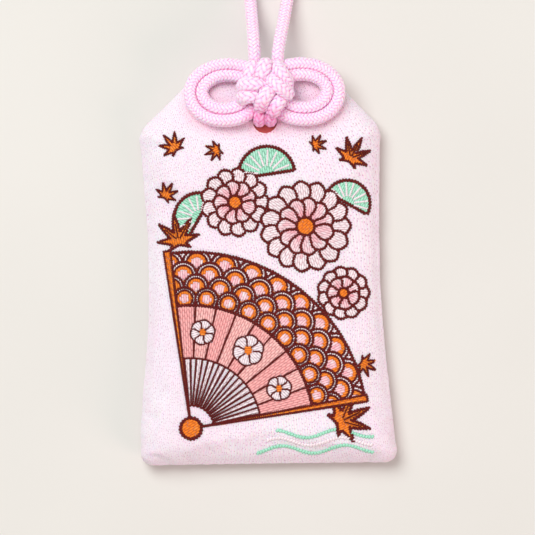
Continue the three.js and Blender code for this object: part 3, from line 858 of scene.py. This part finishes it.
# Stitches of each thread: where each starts and ends, its width, its rise over the cloth, and its tint.
# Real rows lie closer together and their stitches are longer. They are drawn so that each stitch shows.
thread_pitch, thread_spread = 0.46, 1.3
stitch_length, shortest_stitch = 1.25, 0.5
stitch_sampling = 0.12
stitch_overlap = 0.1
stitch_shift = 0.14
edge_pitch, edge_spread = 0.6, 1.04
edge_pitch_share = 0.85
edge_slant = math.radians(50)
edge_stretch = 0.9, 1.12
fill_rise, edge_rise = 0.1, 0.34
stitches = {thread: [] for thread in ("maroon", "salmon", "orange", "white", "petal", "mint")}
luck = np.random.default_rng(7)
for number, shape in enumerate(shapes):
    outline = shape["outline"]
    if shape["thread"]:
        lean = math.radians(shape["lean"])
        forward = np.array([math.cos(lean), math.sin(lean)])
        sideways = np.array([-math.sin(lean), math.cos(lean)])
        u, v = outline @ forward, outline @ sideways
        rows = np.arange(math.ceil(v.min() / thread_pitch), math.floor(v.max() / thread_pitch) + 1)
        places = np.arange(u.min(), u.max() + stitch_sampling, stitch_sampling)
        if not len(rows):
            continue
        spots = places[None, :, None] * forward + rows[:, None, None] * thread_pitch * sideways
        spots = spots.reshape(-1, 2)
        kept = (inside(outline, spots) & in_sight(number, spots)).reshape(len(rows), -1)
        for row, mask in zip(rows, kept):
            side = row * thread_pitch * sideways
            ends = np.flatnonzero(np.diff(np.concatenate([[0], mask.astype(int), [0]])))
            for first, last in zip(ends[::2], ends[1::2]):
                begin, stop = places[first], places[last - 1]
                phase = (row % 2) * stitch_length / 2 + luck.uniform(-stitch_shift, stitch_shift)
                first_break = math.ceil((begin + shortest_stitch - phase) / stitch_length)
                last_break = math.ceil((stop - shortest_stitch - phase) / stitch_length)
                marks = [begin, *(np.arange(first_break, last_break) * stitch_length + phase), stop]
                for a, b in zip(marks, marks[1:]):
                    middle = (a + b) / 2 * forward + side
                    tint = shape["tint"](middle[None])[0] if callable(shape["tint"]) else shape["tint"]
                    start = (a - stitch_overlap) * forward + side
                    end = (b + stitch_overlap) * forward + side
                    stitches[shape["thread"]].append(
                        (*start, *end, thread_pitch * thread_spread, fill_rise, tint)
                    )
    if shape["edge"]:
        path = np.vstack([outline, outline[:1]]) if shape["closed"] else outline
        pitch = min(edge_pitch, edge_pitch_share * shape["edge"])
        spots = at_runs(path, np.arange(pitch / 2, run_of(path)[-1], pitch))
        heading = unit(np.gradient(spots, axis=0))
        half = shape["edge"] / 2 * (heading / math.tan(edge_slant) + left_of(heading))
        kept = in_sight(number, spots)
        for spot, offset in zip(spots[kept], half[kept]):
            offset = offset * luck.uniform(*edge_stretch)
            stitches[shape["edge_thread"]].append(
                (*(spot - offset), *(spot + offset), pitch * edge_spread, edge_rise, 0)
            )

# A stitch is a grain of thread: two tips that dive into the cloth and three rings of four corners between.
ring_places = np.array([0.14, 0.5, 0.86])
ring_swell = np.array([0.8, 1, 0.8])
ring_sides = np.array([[1, 0.2], [0, 1], [-1, 0.2], [0, -0.25]])
tip_depth = 0.03
stitch_corners = 14
far_tip = stitch_corners - 1
# Painted shade along each stitch: full at its tips, less on its outer rings, none in its middle.
corner_dip = np.repeat([1, 0.3, 0, 0.3, 1], [1, 4, 4, 4, 1])
grain_faces = []
for k in range(4):
    a, b = 1 + k, 1 + (k + 1) % 4
    grain_faces += [(0, b, a), (far_tip, a + 8, b + 8)]
    grain_faces += [(a + ring, b + ring, b + ring + 4, a + ring + 4) for ring in (0, 4)]


def mark(piece, name, values):
    """Gives each corner of a piece a value that its material reads."""
    made = piece.data.attributes.new(name, "FLOAT", "POINT")
    made.data.foreach_set("value", np.asarray(values, np.float32))


# Each thread's tones: the range over its stitches, and a painted shade where a stitch dives into the cloth.
thread_tones = {
    "maroon": ("#681715", "#862824", "#4c0f0d"), "salmon": ("#feb8b7", "#ffccc8", "#e49294"),
    "orange": ("#fb8a2a", "#ffa84e", "#cf620e"), "white": ("#fff4fa", "#fffbff", "#ecdde6"),
    "petal": ("#ffb6c2", "#fff6fb", "#eec0cb"), "mint": ("#aef0d4", "#c4f8e6", "#86d3b4"),
}
tint_spread = 0.2
for thread, sewn in stitches.items():
    sewn = np.array(sewn)
    start, end = sewn[:, 0:2], sewn[:, 2:4]
    width, height, shade = sewn[:, 4:5], sewn[:, 5], sewn[:, 6]
    beside = left_of(unit(end - start))
    corners = np.empty((len(sewn), stitch_corners, 3))
    for number, tip in ((0, start), (far_tip, end)):
        corners[:, number, :2] = tip
        corners[:, number, 2] = drape_at(tip) - tip_depth
    for ring, (share, swell) in enumerate(zip(ring_places, ring_swell)):
        middle = start + (end - start) * share
        for k, (aside, up) in enumerate(ring_sides):
            spot = middle + beside * (width / 2 * aside * swell)
            corners[:, 1 + 4 * ring + k, :2] = spot
            corners[:, 1 + 4 * ring + k, 2] = drape_at(spot) + height * up * swell
    faces = [tuple(stitch_corners * n + c for c in face) for n in range(len(sewn)) for face in grain_faces]
    piece = mesh_piece(f"embroidery_{thread}", corners.reshape(-1, 3), faces)
    tint = np.clip(shade + luck.normal(0, tint_spread, len(sewn)), 0, 1)
    mark(piece, "thread_tint", np.repeat(tint, stitch_corners))
    mark(piece, "painted_dip_shade", np.tile(corner_dip, len(sewn)))

    # Twisted rayon: a silky sheen on each stitch, no two quite the same tone.
    rayon, tree, surface = new_material(f"thread_rayon_{thread}")
    low_tone, high_tone, dip_shade_tone = thread_tones[thread]
    own_tint = add_node(tree, "Attribute", attribute_name="thread_tint").outputs["Fac"]
    tone = add_node(tree, "ValToRGB", {"Fac": own_tint}, [(0, low_tone), (1, high_tone)])
    # Painted shade: the tone darkens towards the tips, where the stitch dives into the cloth.
    dip = add_node(tree, "Attribute", attribute_name="painted_dip_shade").outputs["Fac"]
    shaded = add_node(tree, "Mix", {"Factor": dip, "A": tone, "B": linear(dip_shade_tone)}, data_type="RGBA")
    rayon_finish = {"Roughness": 0.5, "Specular IOR Level": 0.18, "Sheen Weight": 0.03}
    plug(tree, surface, {"Base Color": shaded, **rayon_finish})
    piece.data.materials.append(rayon)
    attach(piece, "pouch")

# Cord tails and stopper
# One length of pale pink polyester cord, round braided from sixteen strands over two and under two.
# Its two ends go through the hole in the front and are tied together inside, so that they can't pull out.
cord_diameter = 2.4
strands_each_way = 8
pick_pitch, pick_arch = 0.72, 0.5
pick_relief, relief_level = 0.25, 0.6
cord_sides = 48
ring_step = 0.11
route_steps = 24
least_end = 0.01
knot_seat = np.array([0.6, 34.0, 7.096])
knot_tilt = math.radians(8)
# Each length of cord by its name: the piece, its middle line, its diameter and the depth of its corners.
cord_lines = {}


def smooth_route(points, step):
    """Even steps along the smooth curve through the points of a cord's route."""
    p = np.array(points, float)
    p = np.vstack([2 * p[0] - p[1], p, 2 * p[-1] - p[-2]])
    t = np.linspace(0, 1, route_steps, endpoint=False)[:, None]
    spans = []
    for a, b, c, d in zip(p, p[1:], p[2:], p[3:]):
        before, span, after = (np.linalg.norm(q - r) ** 0.5 for q, r in ((b, a), (c, b), (d, c)))
        leaving = ((b - a) / before - (c - a) / (before + span) + (c - b) / span) * span
        arriving = ((c - b) / span - (d - b) / (span + after) + (d - c) / after) * span
        spans.append(
            (2 * t**3 - 3 * t**2 + 1) * b
            + (t**3 - 2 * t**2 + t) * leaving
            + (3 * t**2 - 2 * t**3) * c
            + (t**3 - t**2) * arriving
        )
    dense = np.vstack([*spans, p[-2:-1]])
    length = run_of(dense)[-1]
    return at_runs(dense, np.linspace(0, length, int(round(length / step)) + 1))


def braided_cord(name, points, diameter=cord_diameter):
    """A closed length of braided cord along a route in millimetres, with its strands in relief."""
    line = smooth_route(points, ring_step)
    run = np.arange(len(line))[:, None] * ring_step
    turn = np.linspace(0, 2 * math.pi, cord_sides, endpoint=False)[None, :]
    scale = diameter / cord_diameter
    rightward = strands_each_way * turn / (2 * math.pi) + run / (pick_pitch * scale)
    leftward = strands_each_way * turn / (2 * math.pi) - run / (pick_pitch * scale)
    crossing = (np.floor(rightward) + np.floor(leftward)) % 4
    over = crossing < 2
    from_middle = 2 * (np.where(over, rightward, leftward) % 1) - 1
    into_pick = np.where(over, crossing + leftward % 1, crossing - 2 + rightward % 1) - 1
    swell = np.sqrt(np.clip(1 - from_middle**2, 0, 1)) * (1 - pick_arch * into_pick**2)
    to_end = np.minimum(run, run[-1] - run) / (diameter / 2)
    closing = np.sqrt(1 - (1 - np.clip(to_end, least_end, 1)) ** 2)
    radius = (diameter / 2 + pick_relief * scale * (swell - relief_level)) * closing
    made = swept_piece(name, line, radius)
    # How deep each corner lies between the strands, which the material reads for its painted shade.
    depth = 1 - swell.ravel()
    mark(made, "crevice", depth)
    cord_lines[name] = made, line, diameter, depth
    made.data.materials.append(cord_braid)
    return made


def on_knot(points):
    """Points in the knot's own frame, which leans back with the pouch's head, as points of the part."""
    u, v, h = np.array(points, float).T
    y = v * math.cos(knot_tilt) + h * math.sin(knot_tilt)
    z = h * math.cos(knot_tilt) - v * math.sin(knot_tilt)
    return np.column_stack([u, y, z]) + knot_seat


# Polyester filament, with painted light and shade: pale where a strand bulges, and deep pink, a painted
# shade, where the strands dive under each other.
cord_braid, tree, surface = new_material("cord_braided_polyester")
filament_width = 0.12 * mm
unevenness = 0.22
crevice = add_node(tree, "Attribute", attribute_name="crevice").outputs["Fac"]
place = add_node(tree, "TexCoord").outputs["Object"]
filament = add_node(tree, "TexNoise", {"Vector": place, "Scale": 1 / filament_width, "Detail": 2})
filament_and_crevice_shade = add_node(tree, "Math", {0: filament, 1: unevenness, 2: crevice}, operation="MULTIPLY_ADD")
cord_tones = [(0.1, "#ffedfd"), (0.5, "#fee0f8"), (0.8, "#f7b0de"), (1.0, "#e67cc0")]
tone = add_node(tree, "ValToRGB", {"Fac": filament_and_crevice_shade}, cord_tones)
# Painted shade: deep pink where strands press together and near the hole.
painted_contact_shade = add_node(tree, "Attribute", attribute_name="painted_contact_shade").outputs["Fac"]
contact_shaded_tone = add_node(
    tree, "Mix", {"Factor": painted_contact_shade, "A": tone, "B": linear("#ff92cb")},
    data_type="RGBA", blend_type="MULTIPLY",
)
relief = add_node(tree, "Bump", {"Height": filament, "Strength": 0.25, "Distance": 0.05 * mm})
plug(
    tree, surface,
    {
        "Base Color": contact_shaded_tone, "Normal": relief,
        "Roughness": 0.55, "Specular IOR Level": 0.35, "Sheen Weight": 0.25, "Sheen Roughness": 0.4,
        "Subsurface Weight": 0.5, "Subsurface Radius": (1.0, 0.35, 0.6), "Subsurface Scale": 0.8 * mm,
    },
)

hole_at = np.array([*hole_centre, 0])
tail_routes = {
    "left_tail": [
        [-0.8, 2.6, 8.9], [-0.9, 1.9, 9.1], [-1.0, 1.1, 9.2],
        [-1.1, 0.35, 8.4], [-1.1, 0, 6.8], [-1.1, 0, 5.2],
    ],
    "right_tail": [
        [1.0, 2.0, 9.3], [1.05, 1.2, 9.5], [1.1, 0.5, 9.0],
        [1.1, 0.3, 8.5], [1.1, 0, 6.8], [1.1, 0, 5.2],
    ],
}
for name, points in tail_routes.items():
    tail = braided_cord(f"cord_{name}", np.array(points) + hole_at)
    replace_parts(tail, name)
    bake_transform(tail)

stopper_low, stopper_high = (np.array(c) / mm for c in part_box("stopper_knot"))
stopper_cord = 1.75
stopper_turns = 2
stopper_steps = 22
stopper_length, _, stopper_height = stopper_high - stopper_low - stopper_cord
_, middle_y, middle_z = (stopper_low + stopper_high) / 2
share = np.linspace(0, 1, stopper_steps + 1)
bend = 2 * math.pi * stopper_turns * share
stopper_route = np.column_stack(
    [
        stopper_low[0] + stopper_cord / 2 + stopper_length * share,
        middle_y + stopper_height / 2 * np.cos(bend),
        middle_z + stopper_height / 2 * np.sin(bend),
    ]
)
stopper = braided_cord("cord_stopper_knot", stopper_route, stopper_cord)
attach(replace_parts(stopper, "stopper_knot"), "pouch")

# Knot crown
# The cord's four doubled bands, each over the next and under the last, drawn tight into a square knot.
# Each strand is carried on below its neighbours, where it is hidden.
crown_routes = {
    "top_left": [
        [-2.1, 4.6, 2.3], [-2.15, 4.6, 2.85], [-2.3, 4.37, 3.56], [-2.5, 3.77, 3.99],
        [-2.7, 3.03, 3.99], [-2.85, 2.43, 3.56], [-2.92, 2.2, 2.85], [-2.95, 2.2, 2.3],
    ],
    "top_right": [
        [0.3, 4.75, 2.4], [0.3, 4.75, 3.2], [0.27, 4.75, 3.9], [0.15, 4.54, 4.55], [-0.05, 4.0, 4.94],
        [-0.3, 3.33, 4.94], [-0.55, 2.79, 4.55], [-0.7, 2.58, 3.9], [-0.8, 2.45, 3.3], [-0.85, 2.2, 2.7],
    ],
    "left_upper": [
        [-4.2, 0.55, 2.9], [-4.0, 0.58, 4.0], [-3.2, 0.62, 5.0],
        [-2.1, 0.6, 5.3], [-1.3, 0.55, 4.9], [-0.8, 0.5, 4.2],
    ],
    "left_lower": [
        [-4.3, -1.65, 2.6], [-4.1, -1.65, 3.8], [-3.2, -1.6, 4.7],
        [-2.25, -1.6, 4.5], [-1.65, -1.55, 3.4], [-1.3, -1.55, 2.5],
    ],
    "bottom_left": [
        [1.2, 0.0, 2.5], [0.85, -0.7, 4.3], [0.45, -1.25, 5.4],
        [-0.1, -2.1, 5.6], [-0.5, -2.9, 4.9], [-0.7, -3.4, 3.7],
    ],
    "bottom_right": [
        [2.95, -1.6, 2.0], [2.9, -2.2, 3.4], [2.65, -2.95, 4.35], [2.15, -3.65, 4.4], [1.7, -4.4, 3.4],
    ],
    "right_lower": [
        [1.3, 2.2, 3.0], [1.6, 1.5, 4.7], [2.6, 0.35, 5.5], [3.8, -0.55, 5.0], [4.5, -1.05, 3.9],
    ],
    "right_upper": [
        [2.6, 4.6, 2.6], [2.62, 4.4, 3.4], [2.75, 3.85, 4.2],
        [3.4, 2.75, 4.9], [4.1, 1.6, 4.3], [4.4, 0.9, 3.2],
    ],
}
hidden_runs = {
    "upper": [[-2.6, 3.4, 2.3], [-0.9, 3.4, 2.6], [1.2, 3.2, 3.4], [3.0, 2.6, 2.6]],
    "lower": [[-2.8, -1.6, 2.3], [-0.8, -1.9, 2.6], [1.6, -1.7, 3.6], [3.0, -1.6, 2.6]],
    "middle": [[1.4, 2.8, 2.6], [1.5, 1.0, 2.7], [1.4, -0.8, 2.7], [0.6, -2.6, 2.5]],
}
tuck_drop, tuck_inward = 1.3, 0.35
crown_cord = 2.6
crown_widened, crown_lowered = 1.12, 0.86
knot_up = np.array([0, math.sin(knot_tilt), math.cos(knot_tilt)])


def tucked(points):
    """A crown strand's route with both of its ends carried on down into the knot."""
    p = np.array(points, float)
    inward = tuck_inward * (p.mean(axis=0) - p[[0, -1]]) * (1, 1, 0)
    first, last = p[[0, -1]] + inward - (0, 0, tuck_drop)
    return np.vstack([first, p, last])


for name, points in crown_routes.items():
    strand = braided_cord(f"cord_crown_{name}", on_knot(tucked(points)), crown_cord)
    line = cord_lines[strand.name][1].repeat(cord_sides, axis=0)
    outward = corners_of(strand) - line
    lift = (outward @ knot_up)[:, None] * knot_up
    put_corners(strand, line + crown_widened * (outward - lift) + crown_lowered * lift)
    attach(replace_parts(strand, f"crown_{name}"), "knot")
for name, points in hidden_runs.items():
    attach(braided_cord(f"cord_crown_hidden_{name}", on_knot(points)), "knot")

# Bow
# Two turns of the cord on each side of the knot, laid flat on the pouch, the inner turn inside the outer.
# Their legs go under the crown, which holds them by its grip.
bow_routes = {
    "outer": [
        [-1.9, 4.0], [-3.7, 4.8], [-5.4, 5.25], [-7.6, 5.45], [-10.3, 5.05], [-13.0, 3.65], [-14.65, 1.3],
        [-14.75, -1.4], [-13.3, -3.9], [-10.65, -5.5], [-7.7, -5.9], [-5.2, -5.5], [-3.4, -4.6],
        [-2.7, -3.6], [-2.2, -2.2],
    ],
    "inner": [
        [-2.8, 2.2], [-4.8, 2.9], [-6.2, 3.15], [-7.95, 3.25], [-10.05, 2.8], [-11.8, 1.6], [-12.5, 0],
        [-11.8, -1.8], [-10.05, -3.1], [-8.1, -3.5], [-6.3, -3.3], [-5.0, -2.8], [-2.9, -1.7],
    ],
}
bow_cord = 2.5
bow_rise, bow_droop = 1.15, 0.8
droop_start, bow_reach = 6, 15
for side, hand in ((1, "left"), (-1, "right")):
    for turn_name, points in bow_routes.items():
        u, v = np.array(points).T
        reach = np.clip((-u - droop_start) / (bow_reach - droop_start), 0, 1)
        height = bow_rise - bow_droop * reach**2 * (3 - 2 * reach)
        route = on_knot(np.column_stack([side * u, v, height]))
        bow = braided_cord(f"cord_{hand}_bow_{turn_name}", route, bow_cord)
        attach(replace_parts(bow, f"{hand}_bow_{turn_name}"), "knot")

# Hanging loop
# The cord's middle: it leaves the knot as two strands, comes down to the table and closes in a round end.
# It is what the charm hangs by, so it swings where it leaves the knot.
swing_at = np.array([0.6, 41.308, 0.0])
loop_floor, loop_top = 1.25, 8.5
# Each point: its place from the swing's axis, and its share of the height from the table to the knot.
loop_points = [
    [-1.9, 0, 1], [-2.0, 2.3, 0.93], [-2.15, 5.2, 0.69], [-2.35, 8.2, 0.43], [-2.6, 11.2, 0.21],
    [-3.2, 15.2, 0.06], [-4.0, 19.5, 0], [-5.8, 30, 0], [-7.4, 42, 0], [-8.0, 53, 0], [-6.9, 61.5, 0],
    [-3.7, 66.6, 0], [0.5, 68.2, 0], [4.7, 66.6, 0], [7.9, 61.5, 0], [9.2, 53, 0], [8.8, 42, 0],
    [7.6, 30, 0], [6.2, 19.5, 0], [5.5, 15.2, 0.06], [4.8, 11.2, 0.21], [4.25, 8.2, 0.43],
    [3.65, 5.2, 0.69], [3.1, 2.3, 0.93], [2.75, 0, 1],
]
across, along, share = np.array(loop_points).T
height = loop_floor + (loop_top - loop_floor) * share
first_entry, last_entry = on_knot([[-1.9, 4.8, 1.7], [2.7, 4.8, 1.7]])
loop_route = np.vstack([first_entry, swing_at + np.column_stack([across, along, height]), last_entry])
loop = braided_cord("cord_hanging_loop", loop_route)
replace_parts(loop, "hanging_loop")
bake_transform(loop)

# Painted shade: where strands press together, and towards the red hole, the cord is painted deep pink.
contact_shade_reach, most_contact_shade = 0.45, 0.85
mouth_at = hole_at + (0, 0, 8.2)
mouth_flattening = (1, 1, 0.5)
mouth_reach, mouth_fade = 1.9, 3.2
mouth_shade = 0.42, 0.95
line_sampling = 4


def nearness(corners, limit, own=None):
    """How near corners are to other lengths of the cord: 1 at their surface, 0 from a limit on."""
    clear = np.full(len(corners), limit)
    for other, (_, line, diameter, _) in cord_lines.items():
        if other != own:
            points = line[::line_sampling]
            square = (corners**2).sum(axis=1)[:, None] + (points**2).sum(axis=1) - 2 * corners @ points.T
            clear = np.minimum(clear, np.sqrt(np.maximum(square.min(axis=1), 0)) - diameter / 2)
    return np.clip(1 - clear / limit, 0, 1)


for name, (piece, _, _, depth) in cord_lines.items():
    corners = corners_of(piece)
    near = most_contact_shade * nearness(corners, contact_shade_reach, name) ** 2
    beyond = np.linalg.norm((corners - mouth_at) * mouth_flattening, axis=1) - mouth_reach
    shade = np.interp(depth, (0, 1), mouth_shade) * np.clip(1 - beyond / mouth_fade, 0, 1)
    mark(piece, "painted_contact_shade", np.maximum(near, shade))

# Painted pink shade and bounce light: the cloth is painted pinker the nearer it lies to the cord.
cast_reach, most_cast = 3.0, 0.32
corners = corners_of(front_cloth)
cast = np.zeros(len(corners))
head = corners[:, 1] > shoulder_y - head_blend
cast[head] = most_cast * nearness(corners[head], cast_reach)
mark(front_cloth, "painted_cord_glow", cast)
